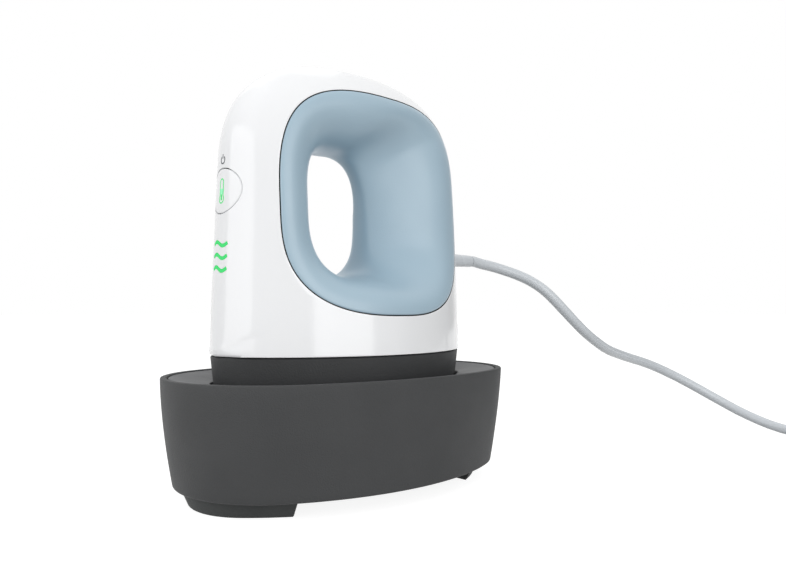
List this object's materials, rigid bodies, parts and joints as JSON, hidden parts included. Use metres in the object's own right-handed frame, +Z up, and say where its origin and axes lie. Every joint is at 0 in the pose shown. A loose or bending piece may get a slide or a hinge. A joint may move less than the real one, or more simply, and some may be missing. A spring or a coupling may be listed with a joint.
{
  "type": "mini heat press",
  "caption": "Hand-held mini heat press with a loop grip and wave lights, standing in a dark insulated safety cradle, with its coiled mains lead.",
  "frame": {"origin": "under the middle of the cradle, on the surface that it stands on", "axes": "+Z up; -X towards the end with the power button, +X towards the end with the lead; -Y is the object's left"},
  "size_m": [0.3372, 0.1776, 0.1392],
  "materials": {
    "white_shell": "high-gloss white moulding",
    "grip_lining": "satin blue-grey moulding",
    "dark_resin": "satin heat-resistant resin",
    "cradle_plastic": "fine matte moulding",
    "foot_rubber": "matte elastomer",
    "light_guide": "clear green light guide, lit",
    "lead_vinyl": "soft light grey vinyl",
    "tie_fabric": "woven hook-and-loop strap",
    "silicone": "matte silicone",
    "mineral_wool": "pressed mineral fibre",
    "frame_nylon": "natural glass-filled nylon",
    "circuit_board": "green solder mask",
    "component_black": "black moulded housing",
    "ceramic": "glazed ceramic",
    "coated_aluminium": "satin non-stick coat",
    "steel": "plated steel"
  },
  "bodies": {
    "cradle": {"cradle_shell": "cradle_plastic", "cradle_liner": "cradle_plastic", "cradle_insulation": "mineral_wool", "cradle_foot_front": "foot_rubber", "cradle_foot_rear": "foot_rubber", "cradle_screw_1": "steel", "cradle_screw_2": "steel", "cradle_screw_3": "steel", "cradle_screw_4": "steel", "rest_pad_1": "silicone", "rest_pad_2": "silicone", "rest_pad_3": "silicone", "rest_pad_4": "silicone", "lead_coil": "lead_vinyl", "lead_tail": "lead_vinyl", "coil_tie": "tie_fabric", "plug_body": "lead_vinyl", "plug_blade_left": "steel", "plug_blade_right": "steel", "plug_ground_pin": "steel"},
    "press": {"outer_shell": "white_shell", "handle_insert_left": "grip_lining", "handle_insert_right": "grip_lining", "heat_skirt": "dark_resin", "heat_plate": "coated_aluminium", "heating_element": "steel", "thermal_fuse": "ceramic", "thermistor": "ceramic", "insulation_pad": "mineral_wool", "heat_shield": "steel", "inner_frame": "frame_nylon", "strain_relief": "lead_vinyl", "cord_clamp": "frame_nylon", "cord_clamp_screw_left": "steel", "cord_clamp_screw_right": "steel", "tact_switch": "component_black", "relay": "component_black", "transformer": "component_black", "control_chip": "component_black", "capacitor": "component_black", "button_board": "circuit_board", "control_board": "circuit_board", "plate_standoff_1": "ceramic", "plate_standoff_2": "ceramic", "plate_standoff_3": "ceramic", "plate_standoff_4": "ceramic", "frame_screw_1": "steel", "frame_screw_2": "steel", "frame_screw_3": "steel", "frame_screw_4": "steel", "wave_light_high": "light_guide", "wave_light_middle": "light_guide", "wave_light_low": "light_guide", "light_diode_high": "light_guide", "light_diode_middle": "light_guide", "light_diode_low": "light_guide", "power_lead": "lead_vinyl"},
    "button": {"power_button": "white_shell", "button_sign": "light_guide"}
  },
  "joints": [
    {"name": "press_lift", "type": "slide", "parent": "cradle", "child": "press", "axis": [0, 0, 1], "range_m": [0, 0.08]},
    {"name": "button_travel", "type": "slide", "parent": "press", "child": "button", "axis": [1, 0, 0], "range_m": [0, 0.0008], "stiffness_N_per_m": 1500}
  ]
}
